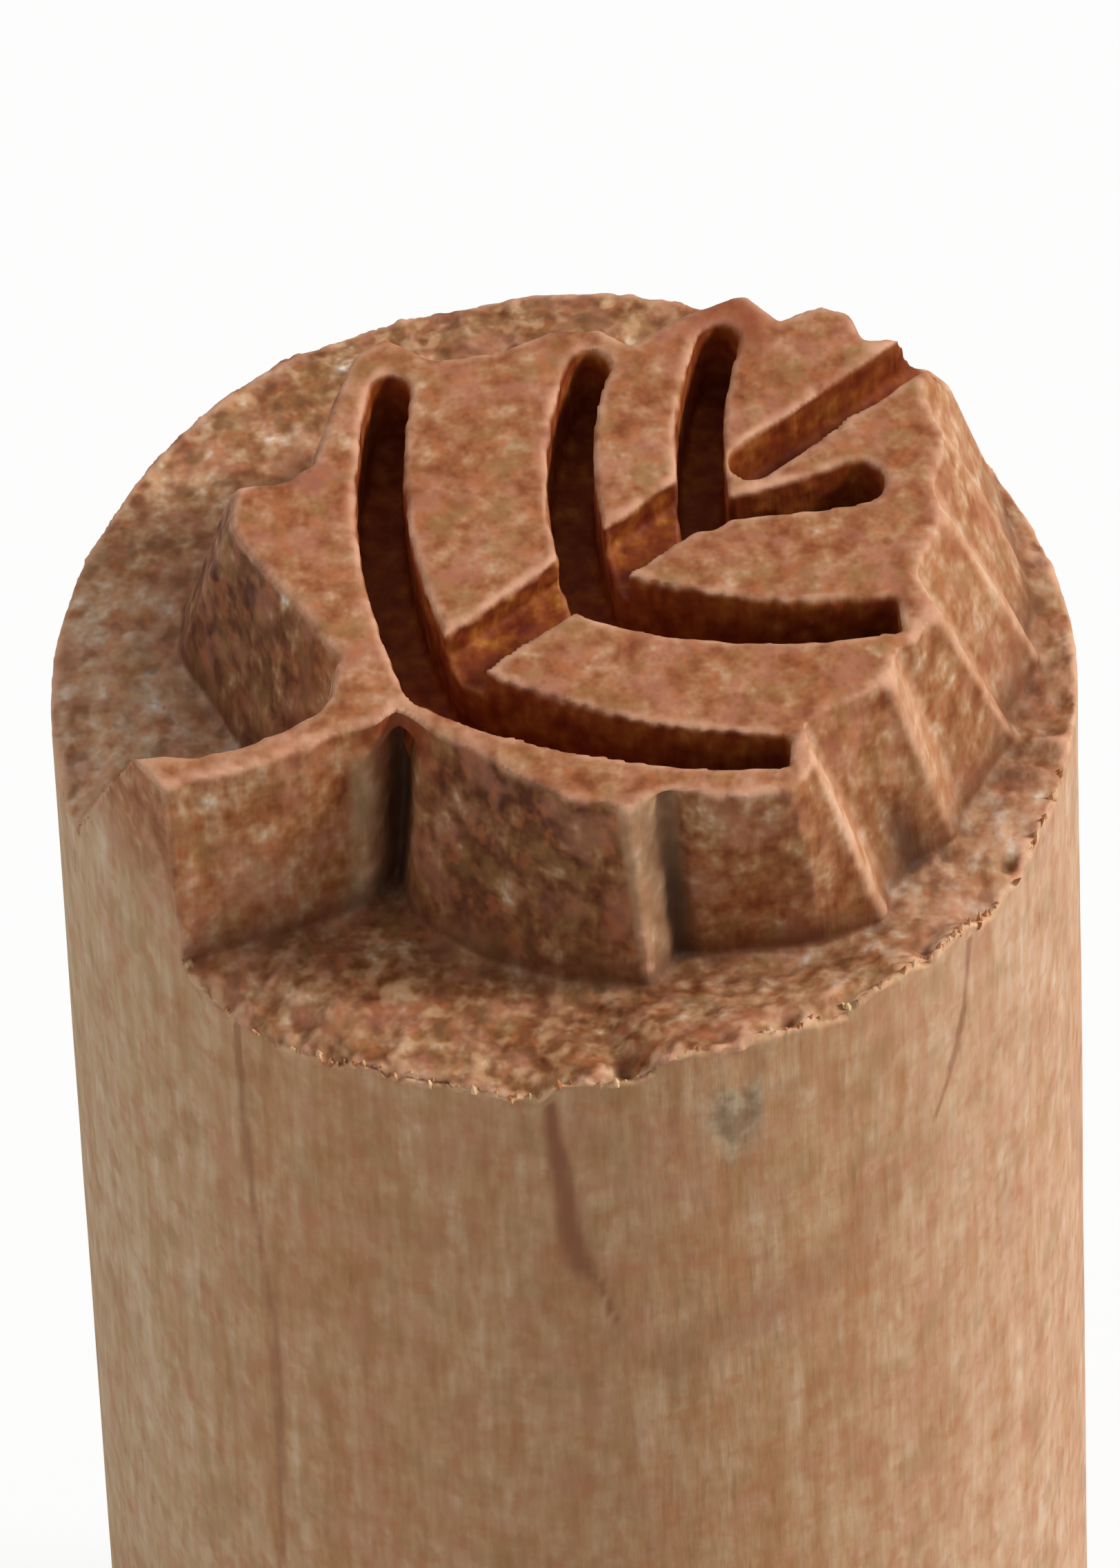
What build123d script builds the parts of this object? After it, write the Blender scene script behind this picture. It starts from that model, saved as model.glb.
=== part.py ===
from build123d import *
from math import cos, radians, sin
import os

# Round wooden clay stamp: a dowel with a leaf carved in relief in its end grain.
# The base is at z = 0, the axis is +Z, and the leaf's printing face is on top.
# The real stamp is one billet. Its named parts are separate solids that meet face to face.

# Driving dimensions, in millimetres and degrees
overall_length = 60.0
dowel_diameter = 25.0
relief_height = 6.7
ground_depth = 3.0
base_edge_radius = 0.7
leaf_turn = 38.0

# The veins, cut down into the printing face
vein_width = 1.2
vein_depth = 2.6
midrib_width = 1.45
midrib_depth = 1.0
tip_vein_width = 1.1
tip_vein_depth = 1.5

# Clearance past a face, so that a cut goes right through it
overrun = 1.0

dowel_radius = dowel_diameter / 2
face_height = overall_length
floor_height = overall_length - relief_height
shank_height = floor_height - ground_depth

# Outlines in the leaf's own frame: x runs from the stalk to the tip, y to the leaf's left.
# Each row is one corner, as shares of the dowel's radius: face x, face y, foot x, foot y.
blade_outline_shares = [
    # right side, from the stalk out to the shoulder
    (-0.528, -0.172, -0.604, -0.192),
    (-0.508, -0.288, -0.576, -0.320),
    (-0.472, -0.392, -0.540, -0.440),
    (-0.432, -0.536, -0.472, -0.556),
    (-0.360, -0.632, -0.348, -0.680),
    (-0.276, -0.656, -0.256, -0.668),
    # right side, tooth by tooth to the tip
    (-0.176, -0.752, -0.136, -0.752),
    (-0.088, -0.808, -0.024, -0.824),
    (-0.012, -0.776, 0.100, -0.852),
    (0.024, -0.704, 0.152, -0.808),
    (0.120, -0.704, 0.216, -0.808),
    (0.220, -0.728, 0.328, -0.788),
    (0.280, -0.680, 0.392, -0.752),
    (0.396, -0.664, 0.576, -0.680),
    (0.432, -0.560, 0.608, -0.632),
    (0.564, -0.492, 0.736, -0.568),
    (0.596, -0.420, 0.768, -0.504),
    (0.700, -0.332, 0.848, -0.424),
    (0.724, -0.240, 0.880, -0.336),
    (0.820, -0.164, 0.948, -0.216),
    # left side, tooth by tooth back from the tip
    (0.808, -0.108, 0.952, -0.120),
    (0.728, -0.060, 0.904, -0.040),
    (0.752, 0.012, 0.920, 0.048),
    (0.720, 0.060, 0.880, 0.128),
    (0.636, 0.088, 0.792, 0.176),
    (0.628, 0.180, 0.768, 0.272),
    (0.576, 0.204, 0.704, 0.336),
    (0.496, 0.220, 0.592, 0.344),
    (0.380, 0.228, 0.504, 0.344),
    (0.360, 0.300, 0.472, 0.416),
    (0.288, 0.360, 0.384, 0.488),
    (0.176, 0.384, 0.264, 0.520),
    (0.068, 0.452, 0.160, 0.576),
    (0.032, 0.556, 0.104, 0.688),
    (-0.048, 0.564, -0.032, 0.712),
    (-0.160, 0.488, -0.152, 0.656),
    # left shoulder and back to the stalk
    (-0.272, 0.404, -0.256, 0.592),
    (-0.344, 0.412, -0.336, 0.608),
    (-0.424, 0.460, -0.432, 0.640),
    (-0.492, 0.392, -0.520, 0.552),
    (-0.512, 0.256, -0.552, 0.400),
    (-0.528, 0.096, -0.592, 0.208),
    (-0.540, -0.008, -0.600, 0.040),
]
stalk_outline_shares = [
    # right side, from the dowel's side in to the blade
    (-1.040, -0.008, -1.040, -0.036),
    (-0.936, -0.036, -0.936, -0.060),
    (-0.824, -0.088, -0.824, -0.108),
    (-0.736, -0.116, -0.736, -0.140),
    (-0.652, -0.132, -0.660, -0.160),
    (-0.592, -0.156, -0.604, -0.192),
    (-0.480, -0.160, -0.480, -0.208),
    # left side, from the blade back out to the dowel's side
    (-0.480, 0.028, -0.480, 0.128),
    (-0.552, -0.004, -0.552, 0.112),
    (-0.608, -0.056, -0.608, 0.096),
    (-0.664, -0.076, -0.664, 0.088),
    (-0.736, -0.064, -0.736, 0.104),
    (-0.824, -0.040, -0.824, 0.152),
    (-0.904, 0.000, -0.904, 0.240),
    (-0.960, 0.048, -0.928, 0.344),
    (-1.040, 0.112, -1.040, 0.424),
]

# Each side vein is an arc on each side of the midrib: end, middle and vertex as shares of the radius,
# and its width at the end and at the vertex as shares of the vein width.
left_vein_shares = [
    ((-0.044, 0.450), (-0.259, 0.216), (-0.436, -0.156), (0.83, 1.25)),
    ((0.286, 0.244), (0.100, 0.078), (-0.060, -0.208), (0.83, 1.08)),
    ((0.516, 0.129), (0.386, 0.022), (0.228, -0.176), (0.88, 1.00)),
]
right_vein_shares = [
    ((-0.062, -0.710), (-0.276, -0.478), (-0.436, -0.156), (0.83, 1.33)),
    ((0.306, -0.595), (0.106, -0.434), (-0.060, -0.208), (0.92, 1.25)),
    ((0.492, -0.317), (0.357, -0.256), (0.228, -0.176), (1.08, 0.42)),
]
midrib_line_share = -0.144
midrib_run_shares = [(-0.420, -0.080), (-0.040, 0.220)]
tip_vein_run_shares = (0.372, 0.860)

# The ground's rim: direction in degrees in the leaf's frame, where the slope starts as a share of the
# radius, and the rim's height above the floor as a share of the relief height.
rim_shares = [
    (-175, 0.93, -0.02),
    (-161, 0.90, -0.08),
    (-148, 0.84, 0.00),
    (-136, 0.80, 0.02),
    (-124, 0.76, 0.08),
    (-114, 0.76, 0.17),
    (-104, 0.80, 0.16),
    (-93, 0.85, 0.12),
    (-82, 0.87, 0.07),
    (-68, 0.88, 0.00),
    (-55, 0.90, 0.04),
    (-40, 0.93, 0.02),
    (-25, 0.95, -0.01),
    (-9, 0.97, -0.03),
    (8, 0.95, -0.02),
    (26, 0.92, -0.04),
    (46, 0.88, -0.02),
    (68, 0.84, -0.05),
    (92, 0.82, -0.01),
    (118, 0.84, -0.04),
    (140, 0.88, -0.01),
    (162, 0.93, -0.05),
]


def radius_points(shares, height):
    """Corners given as shares of the dowel's radius, at one height."""
    return [Vector(x * dowel_radius, y * dowel_radius, height) for x, y in shares]


def drafted_block(outline_shares):
    """A standing block of the relief: its printing face on top, and its foot on the floor."""
    face = Wire.make_polygon(radius_points([row[:2] for row in outline_shares], face_height))
    foot = Wire.make_polygon(radius_points([row[2:] for row in outline_shares], floor_height))
    return Solid.make_loft([foot, face], ruled=True)


def vein_arm(arm_shares):
    """One arm of a side vein: a groove along an arc, with round ends, that tapers between its two widths."""
    end, middle, vertex = radius_points(arm_shares[:3], face_height)
    end_radius, vertex_radius = [share * vein_width / 2 for share in arm_shares[3]]
    line = Edge.make_three_point_arc(end, middle, vertex)
    reaches = [(0, end_radius), (1 / 2, (end_radius + vertex_radius) / 2), (1, vertex_radius)]
    sides = []
    for turn in (90, -90):
        points = [line @ t + (line % t).rotate(Axis.Z, turn) * reach for t, reach in reaches]
        sides.append(Edge.make_three_point_arc(*points))
    left, right = sides
    areas = [
        Face(Wire([left, Line(left @ 1, right @ 1).edge(), right, Line(right @ 0, left @ 0).edge()])),
        Pos(end) * Circle(end_radius),
        Pos(vertex) * Circle(vertex_radius),
    ]
    return [extrude(area, amount=vein_depth, dir=(0, 0, -1)) for area in areas]


def straight_vein(start_share, end_share, width, depth):
    """A straight groove along the midrib's line, with round ends."""
    start, end = start_share * dowel_radius, end_share * dowel_radius
    middle = Vector((start + end) / 2, midrib_line_share * dowel_radius, face_height)
    slot = Pos(middle) * SlotCenterToCenter(end - start, width)
    return extrude(slot, amount=depth, dir=(0, 0, -1))


def vein_cutters():
    """Every groove of the blade: three side veins on each side, the midrib between them and the tip vein."""
    cutters = []
    for arm_shares in left_vein_shares + right_vein_shares:
        cutters += vein_arm(arm_shares)
    for start_share, end_share in midrib_run_shares:
        cutters.append(straight_vein(start_share, end_share, midrib_width, midrib_depth))
    cutters.append(straight_vein(*tip_vein_run_shares, tip_vein_width, tip_vein_depth))
    return cutters


def space_over_ground():
    """What the carver cut away: a solid whose underside is the floor and its chiselled slopes to the rim."""
    outer_radius = dowel_radius + overrun
    top_height = face_height + overrun
    inner, outer, top = [], [], []
    for direction, start_share, height_share in rim_shares:
        slope_start = start_share * dowel_radius
        rise = height_share * relief_height * (outer_radius - slope_start) / (dowel_radius - slope_start)
        east, north = cos(radians(direction)), sin(radians(direction))
        inner.append(Vector(slope_start * east, slope_start * north, floor_height))
        outer.append(Vector(outer_radius * east, outer_radius * north, floor_height + rise))
        top.append(Vector(outer_radius * east, outer_radius * north, top_height))
    faces = [Face(Wire.make_polygon(inner)), Face(Wire.make_polygon(top))]
    for i in range(len(rim_shares)):
        j = (i + 1) % len(rim_shares)
        faces.append(Face(Wire.make_polygon([inner[i], inner[j], outer[j]])))
        faces.append(Face(Wire.make_polygon([inner[i], outer[j], outer[i]])))
        faces.append(Face(Wire.make_polygon([outer[i], outer[j], top[j], top[i]])))
    return Solid(Shell(faces))


def dowel_slice(bottom, top):
    """The round dowel between two heights."""
    return Pos(0, 0, bottom) * Cylinder(dowel_radius, top - bottom, align=(Align.CENTER, Align.CENTER, Align.MIN))


def make_shank():
    """The handle: a plain dowel whose sawn base has an eased edge."""
    shank = dowel_slice(0, shank_height)
    return fillet(shank.edges().sort_by(Axis.Z)[0], base_edge_radius)


def make_blade():
    """The leaf's blade with its veins."""
    return drafted_block(blade_outline_shares) - vein_cutters()


def make_stalk():
    """The leaf's stalk, from the blade out to the dowel's own side."""
    stalk = drafted_block(stalk_outline_shares) & dowel_slice(floor_height, face_height)
    return stalk - drafted_block(blade_outline_shares)


def footing(outline_shares):
    """The wood straight below a block's foot, which is never cut away, so that the block stands on it."""
    foot = Wire.make_polygon(radius_points([row[2:] for row in outline_shares], floor_height))
    return extrude(Face(foot), amount=ground_depth, dir=(0, 0, -1))


def make_ground():
    """The cut-back floor and its rim, up to the feet of the blade and the stalk."""
    cut_away = space_over_ground() - footing(blade_outline_shares) - footing(stalk_outline_shares)
    ground = dowel_slice(shank_height, face_height) - cut_away
    return ground - drafted_block(blade_outline_shares) - drafted_block(stalk_outline_shares)


def write_parts():
    """Turn the leaf to its place on the dowel and write one file for each part."""
    os.makedirs("parts", exist_ok=True)
    parts = {
        "handle_shank": make_shank(),
        "carved_ground": make_ground(),
        "leaf_stalk": make_stalk(),
        "leaf_blade": make_blade(),
    }
    for name, shape in parts.items():
        turned = Rot(0, 0, leaf_turn) * shape
        export_step(turned, f"parts/{name}.step")
        print(name, len(turned.solids()), "solid", round(turned.volume, 1), "mm3")


write_parts()
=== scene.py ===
# %% [markdown]
# # A wooden clay stamp with a carved leaf
# The real stamp is one short billet of close-grained hardwood. A leaf stands in relief in the end grain of
# its top, with veins cut into it, and the floor round it was cleared with a small chisel. This lesson dresses
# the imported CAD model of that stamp, which says where everything is and how large it is.

import math

import bmesh
import bpy
import numpy as np
from mathutils import Matrix, Vector, kdtree


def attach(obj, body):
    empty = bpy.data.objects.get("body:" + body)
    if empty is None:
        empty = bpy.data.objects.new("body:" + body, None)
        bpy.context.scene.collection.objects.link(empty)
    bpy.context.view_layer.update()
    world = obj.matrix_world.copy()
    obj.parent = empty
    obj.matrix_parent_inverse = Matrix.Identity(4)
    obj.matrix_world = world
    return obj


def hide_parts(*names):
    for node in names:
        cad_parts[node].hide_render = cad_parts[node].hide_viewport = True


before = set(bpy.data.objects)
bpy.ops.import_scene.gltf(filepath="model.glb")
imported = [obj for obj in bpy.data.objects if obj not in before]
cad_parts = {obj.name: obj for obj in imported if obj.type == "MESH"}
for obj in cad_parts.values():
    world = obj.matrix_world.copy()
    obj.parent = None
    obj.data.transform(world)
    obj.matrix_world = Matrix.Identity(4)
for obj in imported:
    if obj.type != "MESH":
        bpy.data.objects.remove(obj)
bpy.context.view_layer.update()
MM = 0.001


def put_in_scene(name, data):
    """Make an object of that name from its data, and link it to the scene."""
    made = bpy.data.objects.new(name, data)
    bpy.context.scene.collection.objects.link(made)
    return made


# %% [markdown]
# ## Camera
# The photograph looks down on the carved end at 52 degrees above the horizon with a long lens, and leans a
# little. A long lens keeps the dowel's sides almost parallel. The camera is set by its own right, up and view
# directions, which is plainer than Euler angles when all three are known.

# %% Camera at the photograph's angle
FLOOR_HEIGHT = 53.3
CAMERA_PLACE = (-0.185, -317.467, 455.77)
CAMERA_ELEVATION = math.radians(52)
CAMERA_ROLL = math.radians(2.42)
LENS, LONG_SIDE = 482.85, 36.0
NEAREST_SEEN, FURTHEST_SEEN = 0.01, 50

camera = put_in_scene("photo_camera", bpy.data.cameras.new("photo_camera"))
camera.data.lens, camera.data.sensor_width = LENS, LONG_SIDE
camera.data.clip_start, camera.data.clip_end = NEAREST_SEEN, FURTHEST_SEEN
looks = Vector((0, math.cos(CAMERA_ELEVATION), -math.sin(CAMERA_ELEVATION)))
level_right = Vector((1, 0, 0))
level_up = level_right.cross(looks)
right = level_right * math.cos(CAMERA_ROLL) - level_up * math.sin(CAMERA_ROLL)
up = level_up * math.cos(CAMERA_ROLL) + level_right * math.sin(CAMERA_ROLL)
facing = Matrix((right, up, -looks)).transposed().to_4x4()
camera.matrix_world = Matrix.Translation(Vector(CAMERA_PLACE) * MM) @ facing
bpy.context.scene.camera = camera
bpy.context.scene.view_settings.view_transform = "Standard"
from_end = Vector(CAMERA_PLACE) - Vector((0, 0, FLOOR_HEIGHT))
print("camera is", round(from_end.length, 1), "mm from the carved end")

# %% [markdown]
# ## Materials: a few small helpers
# Colours are picked as sRGB hex values, as a painter reads them off a swatch, and Blender's sockets want linear
# ones, so one function turns them. One function adds a node with its settings and its links: with it a
# material reads as a list of steps. The sum of two values and the change of a value's range come so often that
# each has a function of its own.

# %% Colour and node helpers
def linear(hex_colour):
    """An sRGB hex colour as linear red, green, blue and alpha."""
    channels = [int(hex_colour[i:i + 2], 16) / 255 for i in (1, 3, 5)]
    return [c / 12.92 if c <= 0.04045 else ((c + 0.055) / 1.055) ** 2.4 for c in channels] + [1.0]


def add(tree, kind, inputs=None, **settings):
    """Add a node: settings are its properties, and inputs are values, or sockets to link from."""
    node = tree.nodes.new(kind)
    for name, value in settings.items():
        setattr(node, name, value)
    for key, value in (inputs or {}).items():
        if isinstance(value, bpy.types.NodeSocket):
            tree.links.new(value, node.inputs[key])
        else:
            node.inputs[key].default_value = value
    return node


def new_material(name):
    """An empty node material with its output node."""
    material = bpy.data.materials.new(name)
    material.use_nodes = True
    material.node_tree.nodes.clear()
    return material, material.node_tree, add(material.node_tree, "ShaderNodeOutputMaterial")


def math_node(tree, operation, first, second):
    """One sum on two values."""
    return add(tree, "ShaderNodeMath", {0: first, 1: second}, operation=operation).outputs[0]


def map_range(tree, value, given, wanted=(0.0, 1.0), **settings):
    """A value carried over from the given range to the wanted one."""
    return add(tree, "ShaderNodeMapRange", {"Value": value, "From Min": given[0], "From Max": given[1],
                                            "To Min": wanted[0], "To Max": wanted[1]}, **settings).outputs[0]


# %% [markdown]
# ## Floor, world and lamps
# The photograph has a plain white ground, and light from the right: the right of the dowel and the narrow
# facets that face right are the brightest, and walls that face the viewer are in shade. A wide soft sun does
# that, with a weak one from the left and a pale world to fill, and some of the same light and shade is also
# painted into the wood's colours further down. All are kept at a plain level, at which a colour comes out about
# as it was picked. The camera sees the floor mostly as plain white paper, so that it needs no more light than
# the wood does, and the wood's shadow still falls on it. For the light that the floor throws back on the wood
# the paper is greyer, or the shaded sides would come out too bright.

# %% Stage and light
WORLD_LEVEL = 0.38
FLOOR_REACH = 3.0
FLOOR_WHITE = 0.8
LAMPS = {"window": ((0.95, 0.02, 0.72), 2.7, 14), "left_fill": ((-0.9, -0.25, 0.45), 0.5, 60)}

floor_mesh = bpy.data.meshes.new("floor")
corners = [(x * FLOOR_REACH, y * FLOOR_REACH, 0) for x, y in ((-1, -1), (1, -1), (1, 1), (-1, 1))]
floor_mesh.from_pydata(corners, [], [(0, 1, 2, 3)])
floor = put_in_scene("floor", floor_mesh)
# Matt paper scatters all light alike, so the eye gets an even white with no shine and a soft shadow
paper, tree, output = new_material("matt white paper sweep")
in_view = add(tree, "ShaderNodeLightPath").outputs["Is Camera Ray"]
paper_colour = add(tree, "ShaderNodeMix", {0: in_view, 6: linear("#BDBDBB"), 7: linear("#F7F7F6")},
                   data_type="RGBA")
matt = add(tree, "ShaderNodeBsdfPrincipled", {"Base Color": paper_colour.outputs[2], "Roughness": 0.9})
white = add(tree, "ShaderNodeEmission", {"Color": linear("#FFFFFF"), "Strength": 1.0})
camera_share = math_node(tree, "MULTIPLY", in_view, FLOOR_WHITE)
both = add(tree, "ShaderNodeMixShader", {0: camera_share, 1: matt.outputs[0], 2: white.outputs[0]})
tree.links.new(both.outputs[0], output.inputs["Surface"])
floor_mesh.materials.append(paper)

world = bpy.data.worlds.new("studio")
bpy.context.scene.world = world
world.use_nodes = True
tree = world.node_tree
tree.nodes.clear()
path = add(tree, "ShaderNodeLightPath")
seen = path.outputs["Is Camera Ray"]
for ray in ("Is Glossy Ray", "Is Transmission Ray"):
    seen = math_node(tree, "MAXIMUM", seen, path.outputs[ray])
level = map_range(tree, seen, (0.0, 1.0), (WORLD_LEVEL, 1.0))
sky = add(tree, "ShaderNodeBackground", {"Color": linear("#FFFFFF"), "Strength": level})
add(tree, "ShaderNodeOutputWorld", {"Surface": sky.outputs[0]})

for name, (towards, strength, width) in LAMPS.items():
    lamp = put_in_scene(name, bpy.data.lights.new(name, "SUN"))
    lamp.data.energy, lamp.data.angle = strength, math.radians(width)
    lamp.rotation_mode = "QUATERNION"
    lamp.rotation_quaternion = Vector(towards).to_track_quat("Z", "Y")
    elevation = math.degrees(math.asin(Vector(towards).normalized().z))
    print(name, "stands", round(elevation), "degrees above the horizon")

# %% [markdown]
# ## Noise made by hand
# Wood is nowhere even, so every surface moves a little. Blender's Displace modifier could do it with a
# texture, but the fibres run along the dowel, so the noise must be long along Z and short across it. A
# lattice of random numbers, blended between its corners, takes three cell sizes in millimetres.

# %% Noise and smoothing
def noise(points, cell, seed):
    """Smooth noise from -1 to 1 with cells of the given size in mm, one size or one for each axis."""
    scaled = points / (np.ones(3) * cell)
    base = np.floor(scaled).astype(np.int64)
    share = scaled - base
    share = share * share * (3 - 2 * share)
    total = np.zeros(len(points))
    for corner in np.ndindex(2, 2, 2):
        key = base + np.array(corner)
        mixed = (key[:, 0] * 73856093) ^ (key[:, 1] * 19349663) ^ (key[:, 2] * 83492791) ^ (seed * 2654435761)
        mixed &= 0xFFFFFFFF
        mixed = ((mixed ^ (mixed >> 13)) * 1274126177) & 0xFFFFFFFF
        mixed = ((mixed ^ (mixed >> 15)) * 668265263) & 0xFFFFFFFF
        value = ((mixed ^ (mixed >> 16)) & 0xFFFF) / 32767.5 - 1
        total += value * np.prod(np.where(corner, share, 1 - share), axis=1)
    return total


def ease(value, low, high):
    """0 below low, 1 above high, and smooth between them; low may be the larger."""
    t = np.clip((value - low) / (high - low), 0, 1)
    return t * t * (3 - 2 * t)


def bell(gap, width):
    """1 where the gap is nothing, and almost 0 at two widths."""
    return np.exp(-(gap / width) ** 2)


def smooth(places, edges, weight, rounds):
    """Move every point towards the middle of its neighbours, by its weight, some rounds."""
    count = len(places)
    neighbours = np.bincount(edges.ravel(), minlength=count)
    for _ in range(rounds):
        middle = np.empty_like(places)
        for axis in range(3):
            middle[:, axis] = (np.bincount(edges[:, 0], places[edges[:, 1], axis], count)
                               + np.bincount(edges[:, 1], places[edges[:, 0], axis], count))
        places = places + weight[:, None] * (middle / neighbours[:, None] - places)
    return places


def arrays(mesh):
    """A mesh's points, their normals and its edges as arrays."""
    mesh.update()
    places, normals = np.empty((2, len(mesh.vertices) * 3), np.float32)
    mesh.vertices.foreach_get("co", places)
    mesh.vertices.foreach_get("normal", normals)
    edges = np.empty(len(mesh.edges) * 2, np.int32)
    mesh.edges.foreach_get("vertices", edges)
    return places.reshape(-1, 3).astype(float), normals.reshape(-1, 3).astype(float), edges.reshape(-1, 2)


def distances(points, targets):
    """The distance of each point from the nearest target."""
    tree = kdtree.KDTree(len(targets))
    for i, target in enumerate(targets):
        tree.insert(target, i)
    tree.balance()
    return np.array([tree.find(point)[2] for point in points])


# %% [markdown]
# ## The carved head, in one fine skin
# The blade, the stalk and the ground are one piece of wood, and knife work crosses from one to the next. So
# their CAD solids are joined, given one skin of 0.1 mm squares with a voxel remesh, worked on as one, and only
# then cut apart along planes. Both sides of a cut share their points, so no seam shows.
# The work is done in millimetres, because in metres the modifier takes no voxel smaller than 0.1 mm. The size
# keeps the blade, the largest of the three, under 200,000 triangles.

# %% One skin round the three solids
VOXEL = 0.104
RADIUS = 12.5
FACE_HEIGHT = 60.0
RELIEF = FACE_HEIGHT - FLOOR_HEIGHT
SHANK_HEIGHT = 50.3
SPARE = 0.5


def head_skin():
    """The three upper CAD nodes joined, in mm, and remeshed."""
    joined = bmesh.new()
    for node in ("carved_ground", "leaf_stalk", "leaf_blade"):
        part = bmesh.new()
        part.from_mesh(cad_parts[node].data)
        bmesh.ops.scale(part, vec=Vector((1, 1, 1)) / MM, verts=part.verts)
        bmesh.ops.remove_doubles(part, verts=part.verts, dist=0.001)
        merged = bpy.data.meshes.new(node)
        part.to_mesh(merged)
        joined.from_mesh(merged)
        part.free()
        bpy.data.meshes.remove(merged)
    for vertex in joined.verts:
        if vertex.co.z < SHANK_HEIGHT + 0.01:
            vertex.co.z -= SPARE
    mesh = bpy.data.meshes.new("head")
    joined.to_mesh(mesh)
    joined.free()
    helper = put_in_scene("head", mesh)
    remesh = helper.modifiers.new("skin", "REMESH")
    remesh.mode, remesh.voxel_size, remesh.adaptivity = "VOXEL", VOXEL, 0
    skin = bpy.data.meshes.new_from_object(helper.evaluated_get(bpy.context.evaluated_depsgraph_get()))
    bpy.data.objects.remove(helper)
    bpy.data.meshes.remove(mesh)
    return skin


head = head_skin()
print("head skin:", len(head.vertices), "points")

# %% [markdown]
# ## Cutting lines
# Three planes divide the head: the handle's top, a level just above the cleared floor where the leaf stands on
# it, and a leaning plane across the root of the stalk. They're cut into the skin now, while it is still
# plain, and the pieces are taken apart along them at the end.

# %% Cut the planes into the skin
LEAF_TURN = math.radians(38)
FOOT_LEVEL = FLOOR_HEIGHT + 0.3
ROOT_AT_FACE, ROOT_AT_FLOOR = -6.92, -7.72
NEAR = 0.002

along = np.array([math.cos(LEAF_TURN), math.sin(LEAF_TURN), 0])
across = np.array([-math.sin(LEAF_TURN), math.cos(LEAF_TURN), 0])
root_normal = along * RELIEF - np.array([0, 0, ROOT_AT_FACE - ROOT_AT_FLOOR])
root_normal /= np.linalg.norm(root_normal)
root_place = along * ROOT_AT_FACE + np.array([0, 0, FACE_HEIGHT])


def largest_part(work):
    """Delete all but the largest connected part, in case the remesh left crumbs."""
    left, parts = set(work.verts), []
    while left:
        found, edge = set(), [left.pop()]
        while edge:
            vertex = edge.pop()
            found.add(vertex)
            for other in (e.other_vert(vertex) for e in vertex.link_edges):
                if other in left:
                    left.remove(other)
                    edge.append(other)
        parts.append(found)
    parts.sort(key=len)
    crumbs = [v for part in parts[:-1] for v in part]
    bmesh.ops.delete(work, geom=crumbs, context="VERTS")
    return len(parts)


work = bmesh.new()
work.from_mesh(head)
print("connected parts of the skin:", largest_part(work))
for place, normal, clear in [((0, 0, SHANK_HEIGHT), (0, 0, 1), True), ((0, 0, FOOT_LEVEL), (0, 0, 1), False),
                             (root_place, root_normal, False)]:
    bmesh.ops.bisect_plane(work, geom=work.verts[:] + work.edges[:] + work.faces[:], dist=NEAR,
                           plane_co=place, plane_no=normal, clear_inner=clear)
work.to_mesh(head)
work.free()

places, normals, edges = arrays(head)
plain = places.copy()
on_shank = plain[:, 2] < SHANK_HEIGHT + 2 * NEAR
on_foot = np.abs(plain[:, 2] - FOOT_LEVEL) < 2 * NEAR
on_root = np.abs((plain - root_place) @ root_normal) < 2 * NEAR
print("points on the cuts:", on_shank.sum(), on_foot.sum(), on_root.sum())

# %% [markdown]
# ## Naming the surfaces
# Each point learns what it is on: the printing face, a wall, a vein, the cleared floor, or the dowel's own
# side. These shares, from 0 to 1, steer the knife marks now and the colours later.
# The veins are found from their centre lines: each is a curve through three points, in the leaf's own frame,
# with its width at the end and at the midrib.

# %% Veins and shares
VEINS = {
    "first left": ((-0.55, 5.62), (-3.24, 2.70), (-5.45, -1.95), 1.0, 1.5),
    "second left": ((3.58, 3.05), (1.25, 0.98), (-0.75, -2.60), 1.0, 1.3),
    "third left": ((6.45, 1.61), (4.83, 0.27), (2.85, -2.20), 1.05, 1.2),
    "first right": ((-0.78, -8.88), (-3.45, -5.98), (-5.45, -1.95), 1.0, 1.6),
    "second right": ((3.82, -7.44), (1.32, -5.43), (-0.75, -2.60), 1.1, 1.5),
    "third right": ((6.15, -3.96), (4.46, -3.20), (2.85, -2.20), 1.3, 0.5),
    "tip": ((10.9, -1.80), (7.75, -1.80), (4.65, -1.80), 1.1, 1.1),
}
MIDRIBS = {"lower": ((-5.25, -1.8), (-3.1, -1.8), (-1.0, -1.8), 1.45, 1.45),
           "upper": ((-0.5, -1.8), (1.1, -1.8), (2.75, -1.8), 1.45, 1.45)}
VEIN_DEPTH = 2.6
VEIN_STEPS = 30
FAR_OFF = 99.0
TIP_WALL, TIP_DRAFT = 10.1, 0.25


def nothing_near(count):
    """The gap, the reach and the direction of points before any vein is found near them."""
    return np.full(count, FAR_OFF), np.zeros(count), np.zeros((count, 2))


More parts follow.
